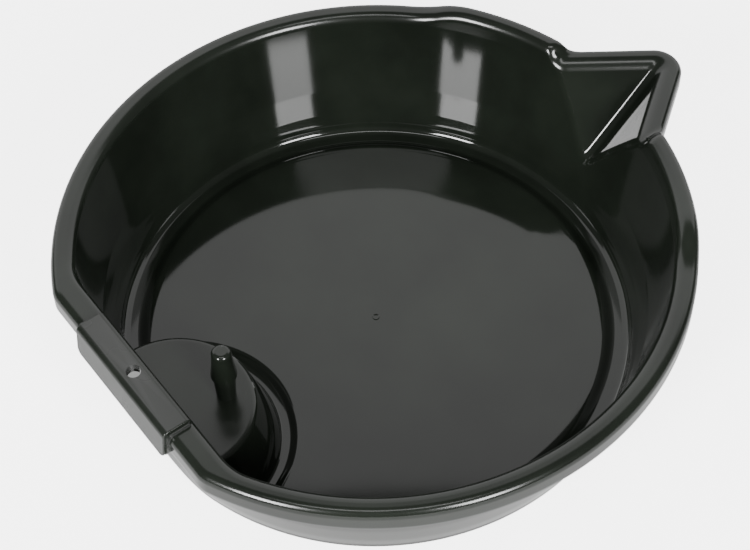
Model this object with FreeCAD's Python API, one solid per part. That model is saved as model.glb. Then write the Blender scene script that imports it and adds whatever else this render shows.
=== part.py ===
import FreeCAD, Part
import math
import os

# Oil drain pan: a round moulded bowl with a rolled rim, a V-shaped pouring spout on +X, a straight
# handle side on -X with a sleeve grip, and a pedestal that carries a post for draining oil filters.
# Millimetres, +Z up.  Everything is laid out from the bowl's axis and its foot at z = 0, and moved
# at the end so that the origin is under the middle of the whole pan.

Vec = FreeCAD.Vector
UP = Vec(0, 0, 1)

# --- driving dimensions ---------------------------------------------------------------------------
skin_t = 2.5                  # wall thickness of the moulding
rim_z = 96.5                  # top of the plain rim above the foot
rim_r = 200.5                 # outside radius of the rim
rim_skirt = 15.5              # height of the rim's outer skirt
rim_round = 5.5               # rounding of the rim's outer and inner top edges

foot_r = 165.6                # inside radius of the wall at the gutter
mouth_r = 185.5               # inside radius of the wall just under the rim
foot_round = 5.0              # inside rounding between the gutter and the wall

gutter_z = skin_t             # top of the gutter that runs round the floor
floor_z = 5.3                 # top of the raised floor
floor_r = 148.2               # radius of the raised floor
floor_slope_w = 8.0           # width of the slope between floor and gutter
gate_r = 2.2                  # moulding mark at the middle of the floor
gate_h = 0.5

straight_in_x = 164.6         # distance of the straight side's inner face from the bowl's axis
straight_out_x = 183.5        # distance of the straight rim's outer face
corner_round = 20.0           # plan rounding where the straight rim meets the round rim

shoulder_h = 7.0              # how far the rim rises on each side of the spout
ramp_angle = math.radians(40.3)   # from the spout's axis to the middle of the outer ramp
ramp_len = 43.0               # length of the outer ramp
shoulder_end_y = 40.5         # distance from the X axis to the foot of the shoulder's spout end
shoulder_end_w = 13.0         # width of the short ramp at the spout end

spout_nose_x = 232.0          # centre of the spout's rounded nose
spout_nose_r = 17.5
spout_half = math.radians(35.6)   # angle between each side of the spout and the X axis
spout_lip_w = 12.5            # width of the lip round the chute
chute_foot_x = 174.0          # where the chute's valley meets the wall
chute_foot_z = 38.5
notch_round = 6.0             # plan rounding where the spout leaves the rim
chute_round = 8.0             # rounding between the chute's sides and the wall

pedestal_x = 154.3            # distance of the pedestal's axis from the bowl's axis
pedestal_z = 44.5
pedestal_top_r = 51.0
pedestal_foot_r = 64.0
pedestal_round = 4.0
moat_r = 69.5                 # outside radius of the gutter round the pedestal
moat_slope_w = 5.5

post_x, post_y = -123.4, -12.5    # axis of the filter post
post_r = 6.15                 # radius of the post on the pedestal
post_top_r = 7.0              # radius of the post under its cap
post_h = 19.0                 # bare height of the post
spigot_r = 4.3                # narrower top of the post, inside the cap
spigot_h = 18.0
tail_r = 4.0                  # push-fit tail in the pedestal
barb_r = 4.8                  # snap ring on the tail, under the pedestal
barb_h = 4.0
barb_edge = 0.5               # height of the barb's straight edge
barb_play = 0.1               # gap between the barb and the pedestal
spigot_lead = 1.0             # lead-in chamfer of the spigot and the tail
cap_top_z = 90.0
cap_flare_r = 8.2             # widest part of the cap
cap_flare_z = 2.0             # its height above the cap's lower edge
cap_waist_r = 6.9
cap_waist_z = 14.0
cap_end_r = 6.1
cap_round = 3.0
cap_clear = 0.05              # radial clearance between the spigot and the cap
cap_gap = 0.3                 # gap between the spigot's end and the cap's bore

grip_len = 96.0
grip_t = 4.3                  # how far the grip stands above the rim
grip_in_x = 166.3             # inner face of the grip
grip_side_x = 186.2           # outer face of the grip at its top
grip_skirt_x = 188.6          # outer face of the grip at its lower edge
grip_skirt_z = 77.4           # lower edge of the grip
grip_hook_x = 180.4           # how far the grip's hook reaches under the rim's skirt
grip_fit = 0.4                # how much tighter the sleeve's inner rounding is than the rim's
grip_seat = 1.5               # how far the sleeve's top reaches down round the rim
grip_round = 4.0              # rounding of the grip's long upper edges
grip_corner = 5.0             # rounding of the skirt's lower corners
grip_edge = 0.8               # rounding of the grip's end edges
collar_w = 1.6                # how far the thinner collar stands out at each end
collar_in = 1.8               # how much lower the collar is than the grip
hang_r = 4.5                  # hanging hole through the grip and the rim
hang_x = 175.7

HIGH = 140.0                  # well above the rim
DEEP = -30.0                  # well below the foot
FAR = 300.0                   # well outside the rim
TINY = 1e-6
STEEP = 0.6                   # a face whose normal has less rise than this is a side
LEVEL = 0.75                  # a face whose normal has more rise than this is a top
DIP = 8.0                     # how far a volume runs past a face it is cut or joined at


# --- small helpers --------------------------------------------------------------------------------
def arc_point(centre, radius, angle):
    return Vec(centre[0] + radius * math.cos(angle), centre[1] + radius * math.sin(angle), 0)


def arc(centre, radius, start, end):
    """Plan arc from one angle to another, either way round."""
    middle = arc_point(centre, radius, (start + end) / 2.0)
    first = arc_point(centre, radius, start)
    last = arc_point(centre, radius, end)
    return Part.Arc(first, middle, last).toShape()


def line(first, last):
    return Part.makeLine(first, last)


def revolved(points):
    """Solid of revolution about the Z axis from a closed outline of (radius, height) points."""
    wire = Part.makePolygon([Vec(r, 0, z) for r, z in points + points[:1]])
    return Part.Face(wire).revolve(Vec(0, 0, 0), UP, 360)


def mid_point(edge):
    first, last = edge.ParameterRange
    return edge.valueAt((first + last) / 2.0)


# --- plan outlines --------------------------------------------------------------------------------
def rim_outline(inset):
    """Closed plan outline of the rim, moved inwards by a distance."""
    round_r = rim_r - inset
    corner_r = corner_round - inset
    corner_x = -straight_out_x + corner_round
    corner_y = math.sqrt((rim_r - corner_round) ** 2 - corner_x ** 2)
    corner_angle = math.atan2(corner_y, corner_x)

    nose_r = spout_nose_r - inset
    nose_turn = math.pi / 2.0 - spout_half
    vertex_x = spout_nose_x + spout_nose_r / math.sin(spout_half)
    notch_r = notch_round + inset
    notch_from_line = notch_round / math.cos(spout_half)
    notch_centre = notch_place(vertex_x, notch_from_line)
    notch_angle = math.atan2(notch_centre[1], notch_centre[0])

    half = [
        arc((spout_nose_x, 0), nose_r, 0.0, nose_turn),
        line(arc_point((spout_nose_x, 0), nose_r, nose_turn),
             arc_point(notch_centre, notch_r, nose_turn + math.pi)),
        arc(notch_centre, notch_r, nose_turn + math.pi, notch_angle + math.pi),
        arc((0, 0), round_r, notch_angle, corner_angle),
        arc((corner_x, corner_y), corner_r, corner_angle, math.pi),
        line(Vec(-straight_out_x + inset, corner_y, 0), Vec(-straight_out_x + inset, 0, 0)),
    ]
    other = [edge.mirror(Vec(0, 0, 0), Vec(0, 1, 0)) for edge in half]
    return Part.Wire(Part.__sortEdges__(half + other))


def notch_place(vertex_x, from_line):
    """Centre of the arc that joins the spout's side to the round rim."""
    slope = math.tan(spout_half)
    reach = rim_r + notch_round
    base = vertex_x + from_line / slope
    # the centre lies on  y = (base - x) * slope  and at the reach from the axis
    a = 1.0 + slope ** 2
    b = -2.0 * base * slope ** 2
    c = (base * slope) ** 2 - reach ** 2
    x = (-b + math.sqrt(b * b - 4.0 * a * c)) / (2.0 * a)
    return (x, (base - x) * slope)


def chute_outline(inset):
    """Closed plan outline of the chute's opening at the rim, moved inwards by a distance."""
    nose_r = spout_nose_r - inset
    nose_turn = math.pi / 2.0 - spout_half
    start = arc_point((spout_nose_x, 0), nose_r, nose_turn)
    run = 130.0
    back = Vec(start.x - run * math.cos(spout_half), start.y + run * math.sin(spout_half), 0)
    mirror_start = Vec(start.x, -start.y, 0)
    mirror_back = Vec(back.x, -back.y, 0)
    return Part.Wire([
        arc((spout_nose_x, 0), nose_r, -nose_turn, nose_turn),
        line(start, back),
        line(back, mirror_back),
        line(mirror_back, mirror_start),
    ])


# --- bowl volumes ---------------------------------------------------------------------------------
def wall_radius(z):
    """Inside radius of the conical wall at a height."""
    taper = (mouth_r - foot_r) / (rim_z - rim_round - gutter_z)
    return foot_r + taper * (z - gutter_z)


def cone_volume(grow):
    """Space inside the wall, grown outwards by a distance, before the floor and pedestal."""
    base = gutter_z - grow
    round_r = foot_round + grow
    corner = wall_radius(base + round_r) + grow
    turn = round_r * (1.0 - math.sqrt(0.5))
    start = Vec(corner - round_r, 0, base)
    arc_mid = Vec(corner - turn, 0, base + turn)
    end = Vec(corner, 0, base + round_r)
    top = Vec(wall_radius(HIGH) + grow, 0, HIGH)
    axis_low = Vec(0, 0, base)
    axis_high = Vec(0, 0, HIGH)
    outline = Part.Wire([
        line(axis_low, start),
        Part.Arc(start, arc_mid, end).toShape(),
        line(end, top),
        line(top, axis_high),
        line(axis_high, axis_low),
    ])
    cone = Part.Face(outline).revolve(Vec(0, 0, 0), UP, 360)
    return cone.common(front_of(-straight_in_x - grow))


def front_of(x):
    """Everything on the spout's side of a plane across the X axis."""
    return Part.makeBox(2.0 * FAR, 2.0 * FAR, HIGH - DEEP, Vec(x, -FAR, DEEP))


def below(z):
    """Everything below a height."""
    return Part.makeBox(2.0 * FAR, 2.0 * FAR, z - DEEP, Vec(-FAR, -FAR, DEEP))


def chute_volume(grow):
    """Space of the pouring chute: the opening's outline pushed along the sloping valley."""
    mouth_z = rim_z - 0.6 * grow
    tip_x = spout_nose_x + spout_nose_r - spout_lip_w
    slope = (rim_z - chute_foot_z) / (tip_x - chute_foot_x)
    low = gutter_z + 1.0
    outline = chute_outline(spout_lip_w - grow)
    outline.translate(Vec((low - mouth_z) / slope, 0, low))
    return Part.Face(outline).extrude(Vec((HIGH - low) / slope, 0, HIGH - low))


def floor_volume(drop):
    """Raised floor disc with a sloping edge, lowered by a distance."""
    foot_z = gutter_z - drop
    base = foot_z - DIP / 2.0
    top = floor_z - drop
    foot = floor_r + floor_slope_w
    disc = revolved([(0, base), (foot, base), (foot, foot_z), (floor_r, top), (0, top)])
    moat_top_r = moat_r + moat_slope_w
    moat = Part.makeCone(moat_r, moat_top_r, top - foot_z, Vec(-pedestal_x, 0, foot_z))
    plug = Part.makeCylinder(moat_r, DIP, Vec(-pedestal_x, 0, foot_z - DIP))
    return disc.cut(moat).cut(plug)


def pedestal_volume(shrink):
    """Tapered round pedestal, made smaller by a distance all round."""
    top_r = pedestal_top_r - shrink
    top = pedestal_z - shrink
    base = gutter_z - DIP
    lean = (pedestal_foot_r - pedestal_top_r) / (pedestal_z - gutter_z)
    low_r = pedestal_foot_r - shrink + lean * DIP
    cone = Part.makeCone(low_r, top_r, top - base, Vec(-pedestal_x, 0, base))
    rims = [edge for edge in cone.Edges if abs(mid_point(edge).z - top) < TINY]
    return cone.makeFillet(pedestal_round - shrink, rims[:1])


def top_volume(drop):
    """Everything below the rim's top surface, shoulders included, lowered by a distance."""
    hill = shoulder_volume(drop)
    other = hill.mirror(Vec(0, 0, 0), Vec(0, 1, 0))
    return below(rim_z - drop).fuse([hill, other])


def s_ramp(length, low, high, far):
    """Upright face under a smooth rise from low to high that stays high as far as a distance."""
    half = length / 2.0
    rise = (high - low) / 2.0
    radius = (half ** 2 + rise ** 2) / (2.0 * rise)
    turn = math.asin(half / radius)
    base = low - 2.0 * DIP
    foot = Vec(-half, 0, low)
    centre = Vec(0, 0, low + rise)
    top = Vec(half, 0, high)
    reach = radius * math.sin(turn / 2.0)
    bend = radius * (1.0 - math.cos(turn / 2.0))
    foot_mid = Vec(-half + reach, 0, low + bend)
    top_mid = Vec(half - reach, 0, high - bend)
    wire = Part.Wire([
        Part.Arc(foot, foot_mid, centre).toShape(),
        Part.Arc(centre, top_mid, top).toShape(),
        line(top, Vec(far, 0, high)),
        line(Vec(far, 0, high), Vec(far, 0, base)),
        line(Vec(far, 0, base), Vec(-half, 0, base)),
        line(Vec(-half, 0, base), foot),
    ])
    return Part.Face(wire)


def shoulder_volume(drop):
    """One raised shoulder: a long ramp along the rim and a short one at the spout."""
    low = rim_z - drop
    high = low + shoulder_h
    ramp = s_ramp(ramp_len, low, high, FAR).extrude(Vec(0, FAR, 0))
    ramp.translate(Vec(0, mouth_r / 3.0, 0))
    ramp.rotate(Vec(0, 0, 0), UP, math.degrees(ramp_angle) - 90.0)
    end = s_ramp(shoulder_end_w, low, high, FAR).extrude(Vec(0, -FAR, 0))
    end.rotate(Vec(0, 0, 0), UP, 90.0)
    end.translate(Vec(0, shoulder_end_y + shoulder_end_w / 2.0, 0))
    return ramp.common(end)


def is_rim_top(edge, shape, limit, reach):
    """True for an edge between the rim's top surface and a side, above a height and far out."""
    place = mid_point(edge)
    if place.z < limit or math.hypot(place.x, place.y) < reach:
        return False
    faces = shape.ancestorsOfType(edge, Part.Face)
    if len(faces) != 2:
        return False
    tilts = []
    for face in faces:
        u, v = face.Surface.parameter(place)
        tilts.append(abs(face.normalAt(u, v).z))
    return min(tilts) < STEEP and max(tilts) > LEVEL


def filled(outline, low, high):
    outline.translate(UP * low)
    return Part.Face(outline).extrude(UP * (high - low))


def rim_block():
    """Solid disc inside the rim's outer skirt, with the rounded outer top edge."""
    block = filled(rim_outline(0.0), rim_z - rim_skirt, HIGH).common(top_volume(0.0))
    edges = [edge for edge in block.Edges if is_rim_top(edge, block, rim_z - 1.0, foot_r)]
    return block.makeFillet(rim_round, edges)


def rim_hollow():
    """Space under the rim's top, inside its skirt."""
    low_z = rim_z - rim_skirt - 2.0 * DIP
    block = filled(rim_outline(skin_t), low_z, HIGH).common(top_volume(skin_t))
    limit = rim_z - skin_t - 1.0
    edges = [edge for edge in block.Edges if is_rim_top(edge, block, limit, foot_r)]
    return block.makeFillet(rim_round - skin_t, edges)


def bowl_space():
    """Inside of the bowl and chute, before the raised floor and the pedestal."""
    space = cone_volume(0.0).fuse(chute_volume(0.0))
    ridges = [edge for edge in space.Edges if is_ridge(edge)]
    return space.makeFillet(chute_round, ridges)


def is_ridge(edge):
    """True for the two long edges where the chute's sides meet the wall."""
    place = mid_point(edge)
    near_wall = foot_r < place.x < mouth_r and spout_nose_r < abs(place.y) < 60.0
    return near_wall and edge.Length > rim_z - gutter_z


def wall_core():
    """Tapered plug with the wall's inside shape, open past the foot."""
    plug = Part.makeCone(wall_radius(DEEP), wall_radius(HIGH), HIGH - DEEP, Vec(0, 0, DEEP))
    return plug.common(front_of(-straight_in_x))


# --- the moulded pan ------------------------------------------------------------------------------
def pan_body():
    """The moulded pan: skin between the inner and outer volumes, and the rolled rim."""
    space = bowl_space()
    ring = rim_block().cut(space)
    reach = floor_r
    edges = [edge for edge in ring.Edges if is_rim_top(edge, ring, rim_z - 1.0, reach)]
    ring = ring.makeFillet(rim_round, edges)

    skin = cone_volume(skin_t).fuse(chute_volume(skin_t)).common(top_volume(skin_t / 2.0))
    ring = ring.cut(rim_hollow().cut(skin))

    relief = floor_volume(0.0).fuse(pedestal_volume(0.0))
    inside = space.cut(relief)
    recess = floor_volume(skin_t).fuse(pedestal_volume(skin_t)).common(wall_core())
    bowl = skin.common(below(rim_z - rim_skirt)).cut(inside).cut(recess)
    post_hole = Part.makeCylinder(tail_r, 2.0 * DIP, Vec(post_x, post_y, pedestal_z - DIP))
    hang_hole = Part.makeCylinder(hang_r, 2.0 * DIP, Vec(-hang_x, 0, rim_z - DIP))
    gate = Part.makeCylinder(gate_r, 2.0 * gate_h, Vec(0, 0, floor_z - gate_h))
    return ring.fuse([bowl, gate]).cut(post_hole).cut(hang_hole)


# --- the sleeve grip ------------------------------------------------------------------------------
def grip_block(half, inset):
    """Solid sleeve of a half length, its outside moved in by a distance."""
    top = rim_z + grip_t - inset
    low = grip_skirt_z + inset
    seat = rim_z - grip_seat
    section = [
        (-grip_in_x - inset, seat),
        (-grip_in_x - inset, top),
        (-grip_side_x + inset, top),
        (-grip_skirt_x + inset, low),
        (-grip_hook_x - inset, low),
        (-grip_hook_x - inset, seat),
    ]
    points = [Vec(x, -half, z) for x, z in section + section[:1]]
    block = Part.Face(Part.makePolygon(points)).extrude(Vec(0, 2.0 * half, 0))
    upper = [edge for edge in block.Edges if is_long_at(edge, top, half)]
    block = block.makeFillet(grip_round - inset, upper)
    return block.common(grip_side_outline(half, top, low))


def is_long_at(edge, z, half):
    """True for an edge as long as the grip at a height."""
    return abs(mid_point(edge).z - z) < TINY and edge.Length > 2.0 * half - 1.0


def handle_grip():
    """Sleeve grip hooked over the straight rim, with a collar at each end and a hanging hole."""
    half = grip_len / 2.0
    sleeve = grip_block(half, 0.0)
    ends = [edge for edge in sleeve.Edges if is_end_edge(edge, half)]
    sleeve = sleeve.makeFillet(grip_edge, ends)
    collar = grip_block(half + collar_w, collar_in)
    hole = Part.makeCylinder(hang_r, 2.0 * DIP, Vec(-hang_x, 0, rim_z - DIP / 2.0))
    return sleeve.fuse(collar).cut(rim_prism(half + collar_w)).cut(hole).removeSplitter()


def is_end_edge(edge, half):
    """True for the grip's outside edges at its two ends."""
    place = mid_point(edge)
    low_corner = grip_skirt_z + 1.0
    return abs(abs(place.y) - half) < 0.01 and place.z > low_corner and place.x < -grip_in_x - 0.1


def grip_side_outline(half, top, low):
    """Grip's outline seen from outside: a long rectangle with rounded lower corners."""
    turn = grip_corner * (1.0 - math.sqrt(0.5))
    left = Vec(0, -half, low + grip_corner)
    left_low = Vec(0, -half + grip_corner, low)
    right = Vec(0, half, low + grip_corner)
    right_low = Vec(0, half - grip_corner, low)
    wire = Part.Wire([
        line(Vec(0, -half, top + 1.0), left),
        Part.Arc(left, Vec(0, -half + turn, low + turn), left_low).toShape(),
        line(left_low, right_low),
        Part.Arc(right_low, Vec(0, half - turn, low + turn), right).toShape(),
        line(right, Vec(0, half, top + 1.0)),
        line(Vec(0, half, top + 1.0), Vec(0, -half, top + 1.0)),
    ])
    return Part.Face(wire).extrude(Vec(-FAR, 0, 0))


def rim_prism(half):
    """Space taken by the straight rim inside the grip."""
    width = straight_out_x - straight_in_x
    long_half = half + 1.0
    corner = Vec(-straight_out_x, -long_half, rim_z - rim_skirt)
    box = Part.makeBox(width, 2.0 * long_half, rim_skirt, corner)
    upper = [edge for edge in box.Edges if is_long_at(edge, rim_z, long_half)]
    return box.makeFillet(rim_round - grip_fit, upper)


# --- the filter post and its cap ------------------------------------------------------------------
def filter_post():
    """Post pushed into the pedestal: snap tail, tapered stem and spigot."""
    base = pedestal_z
    shoulder = base + post_h
    under = base - skin_t
    outline = [
        (0, under - barb_h),
        (tail_r - spigot_lead, under - barb_h),
        (barb_r, under - barb_play - barb_edge),
        (barb_r, under - barb_play),
        (tail_r, under - barb_play),
        (tail_r, base),
        (post_r, base),
        (post_top_r, shoulder),
        (spigot_r, shoulder),
        (spigot_r, shoulder + spigot_h - spigot_lead),
        (spigot_r - spigot_lead, shoulder + spigot_h),
        (0, shoulder + spigot_h),
    ]
    post = revolved(outline)
    post.translate(Vec(post_x, post_y, 0))
    return post


def post_cap():
    """Flared cap that lifts off the post's spigot."""
    low = pedestal_z + post_h
    bore_r = spigot_r + cap_clear
    bore_z = low + spigot_h + cap_gap
    outline = [
        (bore_r, low),
        (post_top_r, low),
        (cap_flare_r, low + cap_flare_z),
        (cap_flare_r, low + cap_flare_z + 1.0),
        (cap_waist_r, low + cap_waist_z),
        (cap_end_r, cap_top_z),
        (0, cap_top_z),
        (0, bore_z),
        (bore_r, bore_z),
    ]
    cap = revolved(outline)
    end = [edge for edge in cap.Edges if abs(mid_point(edge).z - cap_top_z) < TINY and edge.Closed]
    cap = cap.makeFillet(cap_round, end[:1])
    cap.translate(Vec(post_x, post_y, 0))
    return cap


def centre_offset():
    """Distance from the bowl's axis to the middle of the whole pan along X."""
    return (spout_nose_x + spout_nose_r - grip_skirt_x) / 2.0


def main():
    os.makedirs("parts", exist_ok=True)
    nodes = {
        "pan_body": pan_body(),
        "handle_grip": handle_grip(),
        "filter_post": filter_post(),
        "post_cap": post_cap(),
    }
    shift = Vec(-centre_offset(), 0, 0)
    for name, shape in nodes.items():
        shape.translate(shift)
        print(name, shape.isValid(), len(shape.Solids), round(shape.Volume / 1000.0, 2))
        shape.exportStep("parts/" + name + ".step")


main()
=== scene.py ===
import math

import bpy
import numpy as np
from mathutils import Matrix, Vector


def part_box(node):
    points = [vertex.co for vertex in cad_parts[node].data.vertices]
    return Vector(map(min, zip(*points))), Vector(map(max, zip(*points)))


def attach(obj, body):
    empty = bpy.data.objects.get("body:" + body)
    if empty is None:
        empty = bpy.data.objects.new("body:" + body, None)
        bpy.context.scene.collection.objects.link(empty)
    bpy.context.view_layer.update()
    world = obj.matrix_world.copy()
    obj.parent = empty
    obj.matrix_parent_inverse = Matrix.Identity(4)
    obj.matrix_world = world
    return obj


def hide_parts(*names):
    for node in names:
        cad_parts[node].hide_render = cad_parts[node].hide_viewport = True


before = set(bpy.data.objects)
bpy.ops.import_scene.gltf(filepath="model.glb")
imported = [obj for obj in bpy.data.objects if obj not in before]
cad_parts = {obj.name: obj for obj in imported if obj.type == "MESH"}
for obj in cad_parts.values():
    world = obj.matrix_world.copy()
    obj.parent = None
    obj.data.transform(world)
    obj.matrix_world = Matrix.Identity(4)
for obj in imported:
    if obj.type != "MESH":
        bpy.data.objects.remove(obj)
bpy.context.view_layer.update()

# Oil drain pan in black moulded plastic.  The pan body is rebuilt as one fine, smooth skin in the
# same place as its CAD node; the grip, the post and the cap stay as they are, with a better finish.
# Lengths below are millimetres from the bowl's axis and from the plane the pan rests on.

MM = 0.001

# --- sizes ----------------------------------------------------------------------------------------
pan_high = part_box("pan_body")[1]
NOSE_X = 232.0                                  # centre of the spout's rounded nose
NOSE_R = 17.5
axis_x = pan_high[0] / MM - NOSE_X - NOSE_R     # place of the bowl's axis in the frame
shoulder_z = pan_high[2] / MM                   # top of the raised shoulders

SKIN = 2.5                                      # thickness of the moulding
SHOULDER_H = 7.0
RIM_Z = shoulder_z - SHOULDER_H
RIM_R = 200.5
RIM_SKIRT = 15.5                                # height of the rim's outer skirt
RIM_ROUND = 5.5
FOOT_R = 165.6
MOUTH_R = 185.5
FOOT_ROUND = 5.5
GUTTER_Z = SKIN
FLOOR_Z = 5.3
FLOOR_R = 148.2
SLOPE_W = 8.0
STRAIGHT_IN = 164.6                             # straight side, inner face of the wall
STRAIGHT_OUT = 183.5                            # straight side, outer face of the rim
CORNER_ROUND = 20.0
RAMP_ANGLE = math.radians(40.3)                 # from the spout's axis to the outer ramp
RAMP_LEN = 43.0
SHOULDER_END = 47.0
SHOULDER_END_W = 13.0
SPOUT_HALF = math.radians(35.6)
SPOUT_LIP = 12.5
CHUTE_FOOT_X = 174.0
CHUTE_FOOT_Z = 38.5
NOTCH_ROUND = 6.0
CORNER_BLEND = 5.0                              # softness where the wall turns straight
CHUTE_BLEND = 4.0                               # softness where the chute meets the wall
BANDS = (18.5, 37.5)                            # heights where the wall's slope changes
BAND_RADII = (170.4, 175.1)                     # inside radius of the wall there
FLOOR_CROWN = 1.6                               # how much higher the floor is in its middle
GATE_R = 2.2                                    # moulding mark in the middle of the floor
GATE_H = 0.5

PEDESTAL_X = -154.3
PEDESTAL_Z = 44.5
PEDESTAL_TOP_R = 51.0
PEDESTAL_FOOT_R = 64.0
PEDESTAL_ROUND = 4.0
PEDESTAL_FLARE = 3.0                            # rounding where the pedestal meets its gutter
PEDESTAL_SUNK = 1.2                             # how far the pedestal reaches into the skin
HOLLOW_CHAMFER = 1.5                            # chamfer at the top of the hollow
MOAT_R = 69.5                                   # gutter round the pedestal
MOAT_SLOPE = 5.5
POST_X = -123.4
POST_Y = -12.5
TAIL_R = 4.0
HANG_X = -175.7
HANG_R = 4.5

# --- how the mesh is worked out -------------------------------------------------------------------
SPOUT_REACH = 60.0                              # the spout's outline counts only beyond this
OUTSIDE = 100.0                                 # field value where the spout doesn't count
FLOOR_RAY = 175.0                               # length of the rays that look for the floor's edge
WALL_RAY = 260.0                                # length of the rays that look for the wall
RIM_RAY = 60.0                                  # length of the rays round the rim's section
PEDESTAL_RAY = 90.0                             # length of the rays round the pedestal
RIM_START_Z = 80.0                              # height where the wall's rows give way to the rim's
RIM_DEPTH = 8.0                                 # depth of the middle of the rim's section
BAND_EDGE = 0.25                                # half height of the bend between two bands
CUT_DEPTH = 9.0                                 # how far the hole cutters reach each way
SHARP = math.radians(32.0)                      # edges that turn more than this stay sharp
POLE_R = 2.0                                    # radius of the first ring round a pole
HOLLOW_FOOT_Z = -4.0                            # the hollow's cutter ends below the foot


# --- fields: distances that are negative inside a volume -------------------------------------------
def smooth_min(a, b, width):
    share = np.clip(0.5 + 0.5 * (b - a) / width, 0.0, 1.0)
    return b * (1.0 - share) + a * share - width * share * (1.0 - share)


def smooth_max(a, b, width):
    return -smooth_min(-a, -b, width)


def round_max(a, b, radius):
    """Overlap of two volumes with a rounded edge."""
    edge = np.hypot(np.maximum(a + radius, 0.0), np.maximum(b + radius, 0.0))
    return np.minimum(np.maximum(a, b), -radius) + edge


def wedge_field(x, y, nose_x, nose_r):
    """Distance outside a pointed outline with a rounded nose on +X."""
    side = (x - nose_x) * math.sin(SPOUT_HALF) + y * math.cos(SPOUT_HALF) - nose_r
    ahead = (x - nose_x) * math.cos(SPOUT_HALF) - y * math.sin(SPOUT_HALF) > 0.0
    field = np.where(ahead, np.hypot(x - nose_x, y) - nose_r, side)
    return np.where(x > SPOUT_REACH, field, OUTSIDE)


def notch_centre():
    """Centre of the arc that joins the spout's side to the round rim."""
    slope = math.tan(SPOUT_HALF)
    base = NOSE_X + (NOSE_R + NOTCH_ROUND) / math.sin(SPOUT_HALF)
    reach = RIM_R + NOTCH_ROUND
    a = 1.0 + slope ** 2
    b = -2.0 * base * slope ** 2
    c = (base * slope) ** 2 - reach ** 2
    x = (-b + math.sqrt(b * b - 4.0 * a * c)) / (2.0 * a)
    return x, (base - x) * slope


NOTCH_X, NOTCH_Y = notch_centre()


def outline_field(x, y):
    """Distance outside the rim's outer outline."""
    y = np.abs(y)
    corner_x = -STRAIGHT_OUT + CORNER_ROUND
    corner_y = math.sqrt((RIM_R - CORNER_ROUND) ** 2 - corner_x ** 2)
    plain = np.maximum(np.hypot(x, y) - RIM_R, -STRAIGHT_OUT - x)
    in_corner = (y > corner_y) & (corner_x * y - corner_y * x > 0.0)
    corner = np.hypot(x - corner_x, y - corner_y) - CORNER_ROUND
    plain = np.where(in_corner, corner, plain)
    both = np.minimum(plain, wedge_field(x, y, NOSE_X, NOSE_R))
    back = (NOTCH_X - x) * math.cos(SPOUT_HALF) + (y - NOTCH_Y) * math.sin(SPOUT_HALF)
    in_notch = (NOTCH_X * y - NOTCH_Y * x < 0.0) & (back > 0.0) & (x > 0.0)
    notch = NOTCH_ROUND - np.hypot(x - NOTCH_X, y - NOTCH_Y)
    return np.where(in_notch, notch, both)


def wall_radius(z):
    """Inside radius of the wall: three bands, each steeper than the one below."""
    mouth_z = RIM_Z - RIM_ROUND
    taper = (MOUTH_R - BAND_RADII[-1]) / (mouth_z - BANDS[-1])
    heights = (GUTTER_Z,) + BANDS + (2.0 * mouth_z,)
    radii = (FOOT_R,) + BAND_RADII + (MOUTH_R + taper * mouth_z,)
    return np.interp(z, heights, radii)


def bowl_field(x, y, z):
    """Distance outside the bowl's inner surface, chute included."""
    y = np.abs(y)
    bowl = smooth_max(np.hypot(x, y) - wall_radius(z), -STRAIGHT_IN - x, CORNER_BLEND)
    tip_x = NOSE_X + NOSE_R - SPOUT_LIP
    slope = (RIM_Z - CHUTE_FOOT_Z) / (tip_x - CHUTE_FOOT_X)
    nose_r = NOSE_R - SPOUT_LIP
    nose_x = tip_x - nose_r - (RIM_Z - z) / slope
    chute = wedge_field(x, y, nose_x, nose_r)
    return smooth_min(bowl, chute, CHUTE_BLEND)


def s_rise(t, length, rise):
    """Smooth rise made of two arcs, from 0 at -length/2 to full height at +length/2."""
    half = length / 2.0
    radius = (half ** 2 + (rise / 2.0) ** 2) / rise
    t = np.clip(t, -half, half)
    low = radius - np.sqrt(radius ** 2 - (t + half) ** 2)
    high = rise - radius + np.sqrt(radius ** 2 - (half - t) ** 2)
    return np.where(t < 0.0, low, high)


def top_height(x, y):
    """Height of the rim's top surface."""
    y = np.abs(y)
    along = x * math.sin(RAMP_ANGLE) - y * math.cos(RAMP_ANGLE)
    outer = s_rise(along, RAMP_LEN, SHOULDER_H)
    inner = s_rise(y - SHOULDER_END, SHOULDER_END_W, SHOULDER_H)
    return RIM_Z + np.minimum(outer, inner)


def rim_field(x, y, z):
    """Distance outside the rim's solid: top, outer outline and inner surface, rounded."""
    block = round_max(z - top_height(x, y), outline_field(x, y), RIM_ROUND)
    return round_max(block, -bowl_field(x, y, z), RIM_ROUND)


def first_hit(field, reach, steps=34):
    """Distance along rays at which a field turns positive, by halving."""
    low = np.zeros_like(reach)
    high = reach.copy()
    for _ in range(steps):
        middle = 0.5 * (low + high)
        inside = field(middle) < 0.0
        low = np.where(inside, middle, low)
        high = np.where(inside, high, middle)
    return 0.5 * (low + high)


# --- the pan's skin as one closed grid --------------------------------------------------------------
def column_angles():
    """Directions of the skin's columns: closer together where the plan shape turns."""
    step = 0.6
    angles = list(np.arange(0.0, 360.0, step))
    fine = [(-16.5, 16.5, 0.2), (26.0, 50.0, 0.4), (-50.0, -26.0, 0.4),
            (148.0, 160.0, 0.25), (200.0, 212.0, 0.25)]
    for low, high, fine_step in fine:
        angles = [a for a in angles if not (low < a < high or low < a - 360.0 < high)]
        angles += list(np.arange(low, high + 1e-6, fine_step))
    angles = sorted(set(round(a % 360.0, 4) for a in angles))
    return np.radians(np.array(angles))


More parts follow.
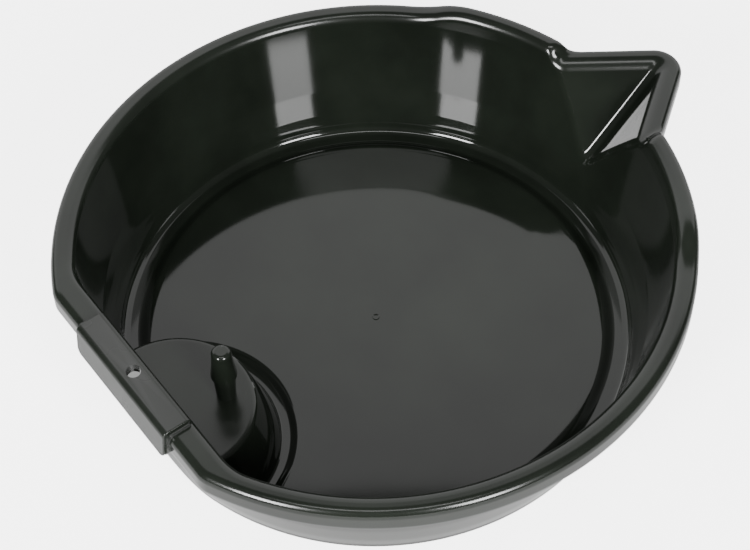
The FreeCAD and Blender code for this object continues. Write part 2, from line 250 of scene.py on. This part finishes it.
def floor_edge(cos_a, sin_a, share):
    """Radius of the floor's sloping edge along each direction, from its top to its foot."""
    outer_r = FLOOR_R + SLOPE_W * share
    moat = MOAT_R + MOAT_SLOPE * (1.0 - share)

    def field(r):
        x = r * cos_a
        y = r * sin_a
        return smooth_max(r - outer_r, moat - np.hypot(x - PEDESTAL_X, y), CORNER_BLEND)

    return first_hit(field, np.full_like(cos_a, FLOOR_RAY))


def floor_height(r):
    """Height of the slightly crowned floor at a distance from the bowl's axis."""
    return FLOOR_Z + FLOOR_CROWN * (1.0 - (r / FLOOR_R) ** 2)


def skin_rows():
    """Rows of the skin from the middle of the floor, over the rim, to the middle underneath."""
    angle = column_angles()
    cos_a = np.cos(angle)
    sin_a = np.sin(angle)
    flat = np.ones_like(angle)
    rows = []

    def add(r, z):
        rows.append(np.stack([r * cos_a, r * sin_a, z * flat], axis=1))

    def wall_at(z, grow=0.0):
        field = lambda r: bowl_field(r * cos_a, r * sin_a, z) - grow
        return first_hit(field, WALL_RAY * flat)

    def outline_at(inset):
        return first_hit(lambda r: outline_field(r * cos_a, r * sin_a) + inset, WALL_RAY * flat)

    # moulding mark, floor, its sloping edge and the gutter
    top_edge = floor_edge(cos_a, sin_a, 0.0)
    for part, lift in ((0.3, 0.7), (0.6, 0.75), (0.92, 1.0), (1.0, 0.8), (1.06, 0.0)):
        add(GATE_R * part * flat, floor_height(0.0) + GATE_H * lift)
    for part in (0.02, 0.06, 0.12, 0.2, 0.3, 0.4, 0.5, 0.6, 0.7, 0.8, 0.88, 0.94, 0.98):
        add(top_edge * part, floor_height(top_edge * part))
    edge_z = floor_height(top_edge)
    for share in np.linspace(0.0, 1.0, 9):
        ease = share * share * (3.0 - 2.0 * share)
        drop = (edge_z - GUTTER_Z) * (0.35 * share + 0.65 * ease)
        add(floor_edge(cos_a, sin_a, share), edge_z - drop)
    foot_edge = floor_edge(cos_a, sin_a, 1.0)
    foot_wall = wall_at(GUTTER_Z + FOOT_ROUND) - FOOT_ROUND
    for part in (0.1, 0.4, 0.7, 0.93):
        add(foot_edge + (foot_wall - foot_edge) * part, GUTTER_Z)
    for turn in np.radians(np.linspace(0.0, 78.0, 9)):
        lift = FOOT_ROUND * (1.0 - math.cos(turn))
        add(foot_wall + FOOT_ROUND * math.sin(turn), GUTTER_Z + lift)

    # wall up to the rim
    base_z = GUTTER_Z + FOOT_ROUND
    levels = list(np.linspace(base_z + 1.0, BANDS[0] - 1.0, 7))
    levels += [BANDS[0] - BAND_EDGE, BANDS[0] + BAND_EDGE]
    levels += list(np.linspace(BANDS[0] + 1.0, BANDS[1] - 1.0, 9))
    levels += [BANDS[1] - BAND_EDGE, BANDS[1] + BAND_EDGE]
    levels += list(np.linspace(BANDS[1] + 1.0, RIM_START_Z, 26))
    for z in levels:
        add(wall_at(z * flat), z)
    out_r = outline_at(0.0)
    top_z = top_height(out_r * cos_a, out_r * sin_a)
    heart_z = top_z - RIM_DEPTH
    heart_r = 0.5 * (wall_at(heart_z) + out_r)
    for part in (0.3, 0.6, 0.85):
        z = RIM_START_Z + (heart_z - RIM_START_Z) * part
        add(wall_at(z), z)

    # over the rim, by rays from the middle of its section
    for turn in np.radians(np.linspace(180.0, 0.0, 49)):
        step_r = math.cos(turn)
        step_z = math.sin(turn)

        def field(d):
            r = heart_r + d * step_r
            return rim_field(r * cos_a, r * sin_a, heart_z + d * step_z)

        reach = first_hit(field, RIM_RAY * flat)
        add(heart_r + reach * step_r, heart_z + reach * step_z)

    # outer skirt, its lower edge, and back up inside it
    skirt_z = RIM_Z - RIM_SKIRT
    for part in (0.35, 0.7, 1.0):
        add(out_r, heart_z + (skirt_z + 0.6 - heart_z) * part)
    add(outline_at(0.25), skirt_z + 0.12)
    add(outline_at(0.6), skirt_z)
    add(outline_at(SKIN - 0.4), skirt_z)
    add(outline_at(SKIN), skirt_z + 0.4)
    inner_round = RIM_ROUND - SKIN
    ceiling = top_z - SKIN
    add(outline_at(SKIN), skirt_z + 4.0)
    for turn in np.radians(np.linspace(0.0, 90.0, 6)):
        inset = SKIN + inner_round * (1.0 - math.cos(turn))
        add(outline_at(inset), ceiling - inner_round * (1.0 - math.sin(turn)))
    last_r = outline_at(SKIN + inner_round)
    outer_wall_r = wall_at(ceiling, SKIN)
    add(last_r + (outer_wall_r - last_r) * 0.5, ceiling)

    # outside of the wall down to the foot, and the underside
    for part in (0.0, 0.25, 0.5, 0.75):
        z = ceiling + (RIM_START_Z - ceiling) * part
        add(wall_at(z, SKIN), z)
    foot_outer = FOOT_ROUND + 1.5
    for z in np.linspace(RIM_START_Z, foot_outer, 28):
        add(wall_at(z * flat, SKIN), z)
    foot_wall = wall_at(flat * foot_outer, SKIN)
    for turn in np.radians(np.linspace(8.0, 90.0, 9)):
        add(foot_wall - foot_outer * (1.0 - math.cos(turn)), foot_outer * (1.0 - math.sin(turn)))
    add(floor_edge(cos_a, sin_a, 1.0), 0.0)
    for share in (0.75, 0.5, 0.25, 0.0):
        add(floor_edge(cos_a, sin_a, share), (edge_z - SKIN) * (1.0 - share))
    for part in (0.85, 0.7, 0.5, 0.3, 0.1, 0.02):
        add(top_edge * part, floor_height(top_edge * part) - SKIN)
    return np.stack(rows)


def closed_grid(name, rows):
    """Closed mesh from rows of points round an axis, with a pole at each end."""
    count, columns, _ = rows.shape
    points = [tuple(p) for p in rows.reshape(-1, 3)]
    points.append(tuple(rows[0].mean(axis=0)))
    points.append(tuple(rows[-1].mean(axis=0)))
    faces = []
    for i in range(count - 1):
        for j in range(columns):
            k = (j + 1) % columns
            faces.append((i * columns + j, (i + 1) * columns + j,
                          (i + 1) * columns + k, i * columns + k))
    first = count * columns
    last = first + 1
    base = (count - 1) * columns
    for j in range(columns):
        k = (j + 1) % columns
        faces.append((first, j, k))
        faces.append((last, base + k, base + j))
    mesh = bpy.data.meshes.new(name)
    mesh.from_pydata(points, [], faces)
    mesh.update()
    piece = bpy.data.objects.new(name, mesh)
    bpy.context.scene.collection.objects.link(piece)
    return piece


def revolved_solid(name, outline, centre, columns=192, limit=None):
    """Closed solid of revolution about an upright axis, kept inside an optional limit field."""
    angle = np.linspace(0.0, 2.0 * math.pi, columns, endpoint=False)
    cos_a = np.cos(angle)
    sin_a = np.sin(angle)
    rows = []
    for r, z in outline:
        radius = np.full(columns, float(r))
        if limit is not None:
            field = lambda d: limit(centre[0] + d * cos_a, centre[1] + d * sin_a, z)
            radius = np.minimum(radius, first_hit(field, np.full(columns, PEDESTAL_RAY)))
        rows.append(np.stack([centre[0] + radius * cos_a, centre[1] + radius * sin_a,
                              np.full(columns, float(z))], axis=1))
    return closed_grid(name, np.stack(rows))


def arc_points(centre_r, centre_z, radius, start, end, count):
    """Points of a profile arc between two angles in degrees."""
    turns = np.radians(np.linspace(start, end, count))
    return [(centre_r + radius * math.cos(t), centre_z + radius * math.sin(t)) for t in turns]


def pedestal_solid():
    """Pedestal with a rounded top and a flared foot, kept inside the wall's skin."""
    lean = math.atan2(PEDESTAL_FOOT_R - PEDESTAL_TOP_R, PEDESTAL_Z - GUTTER_Z)
    top_arc_r = PEDESTAL_TOP_R - PEDESTAL_ROUND * math.tan(math.pi / 4.0 - lean / 2.0)
    lean_deg = math.degrees(lean)
    top_arc = arc_points(top_arc_r, PEDESTAL_Z - PEDESTAL_ROUND, PEDESTAL_ROUND, lean_deg, 90.0, 10)
    flare = PEDESTAL_FLARE
    flare_r = PEDESTAL_FOOT_R + flare * math.tan(math.pi / 4.0 - lean / 2.0)
    foot_arc = arc_points(flare_r, GUTTER_Z + flare, flare, 180.0 + lean_deg, 250.0, 8)
    under = GUTTER_Z - PEDESTAL_SUNK
    outline = [(POLE_R, PEDESTAL_Z), (top_arc_r * 0.5, PEDESTAL_Z), (top_arc_r - 1.0, PEDESTAL_Z)]
    outline += top_arc[::-1]
    first = top_arc[0]
    last = foot_arc[0]
    for part in np.linspace(0.0, 1.0, 14)[1:-1]:
        outline.append((first[0] + (last[0] - first[0]) * part, first[1] + (last[1] - first[1]) * part))
    outline += foot_arc
    outline += [(foot_arc[-1][0], under), (POLE_R, under)]
    limit = lambda x, y, z: bowl_field(x, y, z) - PEDESTAL_SUNK
    return revolved_solid("pedestal", outline, (PEDESTAL_X, 0.0), 256, limit)


def pedestal_hollow():
    """Space under the pedestal, open at the foot."""
    top = PEDESTAL_Z - SKIN
    lean = (PEDESTAL_FOOT_R - PEDESTAL_TOP_R) / (PEDESTAL_Z - GUTTER_Z)
    foot = HOLLOW_FOOT_Z
    top_r = PEDESTAL_TOP_R - SKIN
    foot_r = top_r + lean * (top - foot)
    side_z = top - HOLLOW_CHAMFER
    outline = [(POLE_R, top), (top_r - HOLLOW_CHAMFER, top), (top_r, side_z)]
    for part in (0.25, 0.5, 0.75, 1.0):
        outline.append((top_r + (foot_r - top_r) * part, side_z + (foot - side_z) * part))
    outline.append((POLE_R, foot))
    limit = lambda x, y, z: bowl_field(x, y, np.maximum(z, GUTTER_Z))
    return revolved_solid("pedestal_hollow", outline, (PEDESTAL_X, 0.0), 192, limit)


def plain_cutter(name, centre, radius, low, high):
    """Upright round cutter for a hole."""
    outline = [(0.5, high), (radius, high), (radius, low), (0.5, low)]
    return revolved_solid(name, outline, centre, 64)


def combine(piece, other, operation):
    """Joins or cuts one closed mesh with another and removes the other."""
    modifier = piece.modifiers.new(operation, "BOOLEAN")
    modifier.operation = operation
    modifier.solver = "MANIFOLD"
    modifier.object = other
    depsgraph = bpy.context.evaluated_depsgraph_get()
    mesh = bpy.data.meshes.new_from_object(piece.evaluated_get(depsgraph))
    piece.modifiers.clear()
    old = piece.data
    piece.data = mesh
    bpy.data.meshes.remove(old)
    bpy.data.objects.remove(other)


def into_frame(piece):
    """Moves a piece's mesh from millimetres on the bowl's axis into the frame."""
    piece.data.transform(Matrix.Scale(MM, 4) @ Matrix.Translation((axis_x, 0.0, 0.0)))
    piece.data.update()


def pan_skin():
    """The pan body: skin, pedestal and its hollow, post hole and hanging hole."""
    pan = closed_grid("pan_skin", skin_rows())
    combine(pan, pedestal_solid(), "UNION")
    combine(pan, pedestal_hollow(), "DIFFERENCE")
    hang_cut = plain_cutter("hang_cut", (HANG_X, 0.0), HANG_R, RIM_Z - CUT_DEPTH, RIM_Z + CUT_DEPTH)
    combine(pan, hang_cut, "DIFFERENCE")
    post_cut = plain_cutter("post_cut", (POST_X, POST_Y), TAIL_R,
                            PEDESTAL_Z - CUT_DEPTH, PEDESTAL_Z + CUT_DEPTH)
    combine(pan, post_cut, "DIFFERENCE")
    into_frame(pan)
    for polygon in pan.data.polygons:
        polygon.use_smooth = True
    pan.data.set_sharp_from_angle(angle=SHARP)
    return pan
# --- materials ------------------------------------------------------------------------------------
CLOUDS = 14.0                                   # scale of the colour's clouds, per metre
HAZE = 6.0                                      # scale of the uneven gloss, per metre
WAVES = 22.0                                    # scale of the skin's slow waviness, per metre
WAVINESS = 0.02                                 # and its depth
SCUFF_TURNS = (0.4, 1.7)                        # directions of the two sets of scuffs, in radians
SCUFF_STRETCH = (14.0, 900.0, 14.0)             # the second number makes them thin
WORN_EDGE = 0.06                                # grey of a worn edge
PLASTIC_IOR = 1.5
FLOOR_GLOW = 4.0                                # brightness of the stage floor where it is seen


def add_node(tree, kind, inputs=None, **settings):
    """Adds a node; inputs holds its values or links by name or place, settings its properties."""
    node = tree.nodes.new(kind)
    for name, value in settings.items():
        setattr(node, name, value)
    for name, value in (inputs or {}).items():
        if isinstance(value, bpy.types.NodeSocket):
            tree.links.new(value, node.inputs[name])
        else:
            node.inputs[name].default_value = value
    return node


def noise(tree, place, scale, detail, roughness=0.55):
    """Cloudy values about 0.5 at a scale per metre."""
    inputs = {"Vector": place, "Scale": scale, "Detail": detail, "Roughness": roughness}
    return add_node(tree, "ShaderNodeTexNoise", inputs).outputs["Fac"]


def spread(tree, value, low, high, to_low, to_high):
    """Maps one range of values to another, clamped."""
    inputs = {"Value": value, "From Min": low, "From Max": high, "To Min": to_low, "To Max": to_high}
    return add_node(tree, "ShaderNodeMapRange", inputs).outputs["Result"]


def colour_mix(tree, share, first, second):
    """Blend of two colours; 6 and 7 are the node's colour inputs, 2 its colour output."""
    inputs = {"Factor": share, 6: first, 7: second}
    return add_node(tree, "ShaderNodeMix", inputs, data_type="RGBA").outputs[2]


def grey(value):
    return (value, value, value, 1.0)


def near_black(value):
    """Very dark base colour with the faint green of this plastic."""
    return (value * 1.05, value * 1.35, value * 0.98, 1.0)


def satin_zone(tree, place, low, high, least_up, dull):
    """Extra roughness on faces that look up, between two heights."""
    height = add_node(tree, "ShaderNodeSeparateXYZ", {0: place}).outputs["Z"]
    normal = add_node(tree, "ShaderNodeNewGeometry").outputs["Normal"]
    up = add_node(tree, "ShaderNodeSeparateXYZ", {0: normal}).outputs["Z"]
    above = spread(tree, height, (low - 1.0) * MM, low * MM, 0.0, dull)
    below = spread(tree, height, high * MM, (high + 1.0) * MM, 1.0, 0.0)
    level = spread(tree, up, least_up - 0.1, least_up, 0.0, 1.0)
    both = add_node(tree, "ShaderNodeMath", {0: above, 1: below}, operation="MULTIPLY").outputs[0]
    return add_node(tree, "ShaderNodeMath", {0: both, 1: level}, operation="MULTIPLY").outputs[0]


def black_plastic(name, shade, gloss, grain, wear, zones=()):
    """Moulded black plastic: cloudy colour, uneven gloss, fine grain, scuffs and paler edges.

    shade is the darkest and palest base colour, gloss the lowest and highest roughness, grain the
    scale per metre and the depth in millimetres of the surface grain, wear how pale the edges
    become, zones the heights, tilt and extra roughness of its duller areas.
    """
    material = bpy.data.materials.new(name)
    material.use_nodes = True
    tree = material.node_tree
    shader = tree.nodes["Principled BSDF"]
    place = add_node(tree, "ShaderNodeTexCoord").outputs["Object"]
    clouds = noise(tree, place, CLOUDS, 4.0)
    share = spread(tree, clouds, 0.35, 0.65, 0.0, 1.0)
    base = colour_mix(tree, share, near_black(shade[0]), near_black(shade[1]))
    point = add_node(tree, "ShaderNodeNewGeometry").outputs["Pointiness"]
    height = add_node(tree, "ShaderNodeSeparateXYZ", {0: place}).outputs["Z"]
    reach = spread(tree, height, 2.0 * FLOOR_Z * MM, 3.0 * FLOOR_Z * MM, 0.0, wear)
    edge = add_node(tree, "ShaderNodeMath", {0: spread(tree, point, 0.53, 0.62, 0.0, 1.0), 1: reach},
                    operation="MULTIPLY").outputs[0]
    colour = colour_mix(tree, edge, base, grey(WORN_EDGE))
    tree.links.new(colour, shader.inputs["Base Color"])

    # scuffs: long thin marks in two directions, seen only as duller lines
    scuffs = 0.0
    for turn in SCUFF_TURNS:
        stretch = {"Vector": place, "Rotation": (0.0, 0.0, turn), "Scale": SCUFF_STRETCH}
        lines = add_node(tree, "ShaderNodeMapping", stretch).outputs["Vector"]
        mark = spread(tree, noise(tree, lines, 1.0, 3.0), 0.70, 0.78, 0.0, 0.02)
        scuffs = add_node(tree, "ShaderNodeMath", {0: mark, 1: scuffs}, operation="ADD").outputs[0]
    haze = spread(tree, noise(tree, place, HAZE, 5.0, 0.65), 0.3, 0.7, gloss[0], gloss[1])
    rough = add_node(tree, "ShaderNodeMath", {0: haze, 1: scuffs}, operation="ADD").outputs[0]
    for zone in zones:
        dull = satin_zone(tree, place, *zone)
        rough = add_node(tree, "ShaderNodeMath", {0: rough, 1: dull}, operation="ADD").outputs[0]
    tree.links.new(rough, shader.inputs["Roughness"])
    shader.inputs["IOR"].default_value = PLASTIC_IOR

    # grain of the mould, over a slow waviness of the skin
    wavy = {"Height": noise(tree, place, WAVES, 1.0), "Distance": WAVINESS * MM, "Strength": 1.0}
    slow = add_node(tree, "ShaderNodeBump", wavy).outputs["Normal"]
    fine = {"Height": noise(tree, place, grain[0], 2.0), "Distance": grain[1] * MM, "Strength": 1.0}
    bump = add_node(tree, "ShaderNodeBump", fine)
    tree.links.new(slow, bump.inputs["Normal"])
    tree.links.new(bump.outputs["Normal"], shader.inputs["Normal"])
    return material


pan = pan_skin()
pan.data.materials.clear()
duller = ((PEDESTAL_Z - 1.0, PEDESTAL_Z + 1.0, 0.9, 0.17), (RIM_Z - 5.0, shoulder_z, 0.1, 0.12))
pan.data.materials.append(
    black_plastic("pan_plastic", (0.006, 0.010), (0.05, 0.09), (700.0, 0.002), 0.25, duller))
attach(pan, "pan")
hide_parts("pan_body")
finishes = {
    "handle_grip": black_plastic("grip_plastic", (0.006, 0.010), (0.20, 0.42), (2600.0, 0.012), 0.5),
    "filter_post": black_plastic("post_plastic", (0.006, 0.010), (0.16, 0.24), (1800.0, 0.006), 0.35),
    "post_cap": black_plastic("cap_plastic", (0.006, 0.010), (0.13, 0.22), (1800.0, 0.005), 0.4),
}
for node, finish in finishes.items():
    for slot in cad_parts[node].material_slots:
        slot.material = finish


# --- stage ----------------------------------------------------------------------------------------
def floor_material():
    """Pale paper, very slightly cloudy; seen directly it is white, as a cut-out background is."""
    material = bpy.data.materials.new("floor_white")
    material.use_nodes = True
    tree = material.node_tree
    shader = tree.nodes["Principled BSDF"]
    place = add_node(tree, "ShaderNodeTexCoord").outputs["Object"]
    share = spread(tree, noise(tree, place, 3.0, 3.0), 0.3, 0.7, 0.0, 1.0)
    tree.links.new(colour_mix(tree, share, grey(0.90), grey(0.92)), shader.inputs["Base Color"])
    shader.inputs["Roughness"].default_value = 0.9
    shader.inputs["Specular IOR Level"].default_value = 0.1
    shader.inputs["Emission Color"].default_value = (1.0, 1.0, 1.0, 1.0)
    seen = add_node(tree, "ShaderNodeLightPath").outputs["Is Camera Ray"]
    tree.links.new(spread(tree, seen, 0.0, 1.0, 0.0, FLOOR_GLOW), shader.inputs["Emission Strength"])
    return material


FLOOR_HALF = 6.0                                # half the floor's side, in metres
FLOOR_DROP = -0.0002                            # just below the pan's foot
corners = [(-FLOOR_HALF, -FLOOR_HALF, FLOOR_DROP), (FLOOR_HALF, -FLOOR_HALF, FLOOR_DROP),
           (FLOOR_HALF, FLOOR_HALF, FLOOR_DROP), (-FLOOR_HALF, FLOOR_HALF, FLOOR_DROP)]
floor_mesh = bpy.data.meshes.new("floor")
floor_mesh.from_pydata(corners, [], [(0, 1, 2, 3)])
floor_mesh.materials.append(floor_material())
floor = bpy.data.objects.new("floor", floor_mesh)
bpy.context.scene.collection.objects.link(floor)


# --- camera: heading points away from it over the floor, right to its right -------------------------
SPOUT_AZIMUTH = math.radians(35.55)
CAMERA_BACK = 0.7395
CAMERA_HIGH = 0.9451                            # above the plain rim
PITCH = math.radians(53.202)
ROLL = math.radians(-1.301)
LENS = 92.92

heading = Vector((math.sin(SPOUT_AZIMUTH), math.cos(SPOUT_AZIMUTH), 0.0))
right = Vector((math.cos(SPOUT_AZIMUTH), -math.sin(SPOUT_AZIMUTH), 0.0))
upright = Vector((0.0, 0.0, 1.0))
rim_middle = Vector((axis_x * MM, 0.0, RIM_Z * MM))
forward = heading * math.cos(PITCH) - upright * math.sin(PITCH)
level_up = right.cross(forward)
camera_right = right * math.cos(ROLL) + level_up * math.sin(ROLL)
camera_up = level_up * math.cos(ROLL) - right * math.sin(ROLL)
camera_data = bpy.data.cameras.new("camera")
camera_data.lens = LENS
camera = bpy.data.objects.new("camera", camera_data)
turn = Matrix((camera_right, camera_up, -forward)).transposed().to_4x4()
camera_place = rim_middle - heading * CAMERA_BACK + upright * CAMERA_HIGH
camera.matrix_world = Matrix.Translation(camera_place) @ turn
bpy.context.scene.collection.objects.link(camera)
bpy.context.scene.camera = camera


# --- light ----------------------------------------------------------------------------------------
LIGHT_REACH = 3.0                               # distance of the lights from the bowl


def soft_light(name, azimuth, elevation, wide, tall, radiance):
    """Soft box facing the bowl, by its direction from the bowl and its angular size in degrees.

    The azimuth turns from straight away from the camera towards its right.
    """
    side = math.radians(azimuth)
    lift = math.radians(elevation)
    level = heading * math.cos(side) + right * math.sin(side)
    outward = level * math.cos(lift) + upright * math.sin(lift)
    data = bpy.data.lights.new(name, "AREA")
    data.shape = "RECTANGLE"
    data.size = 2.0 * LIGHT_REACH * math.tan(math.radians(wide / 2.0))
    data.size_y = 2.0 * LIGHT_REACH * math.tan(math.radians(tall / 2.0))
    data.energy = radiance * math.pi * data.size * data.size_y
    light = bpy.data.objects.new(name, data)
    across = upright.cross(outward).normalized()
    rise = outward.cross(across)
    facing = Matrix((across, rise, outward)).transposed().to_4x4()
    place = rim_middle + outward * LIGHT_REACH
    light.matrix_world = Matrix.Translation(place) @ facing
    bpy.context.scene.collection.objects.link(light)


# the two boxes behind the camera show as windows on the far wall
soft_light("window_left", 150.5, 30.0, 13.0, 20.0, 45.0)
soft_light("window_right", -146.5, 30.0, 13.0, 20.0, 54.0)
soft_light("backdrop", 0.0, 33.0, 110.0, 60.0, 1.4)
soft_light("overhead", 180.0, 74.0, 30.0, 7.0, 7.0)
world = bpy.data.worlds.new("studio")
bpy.context.scene.world = world
world.use_nodes = True
world.node_tree.nodes["Background"].inputs["Color"].default_value = (1.0, 1.0, 1.0, 1.0)
world.node_tree.nodes["Background"].inputs["Strength"].default_value = 0.12
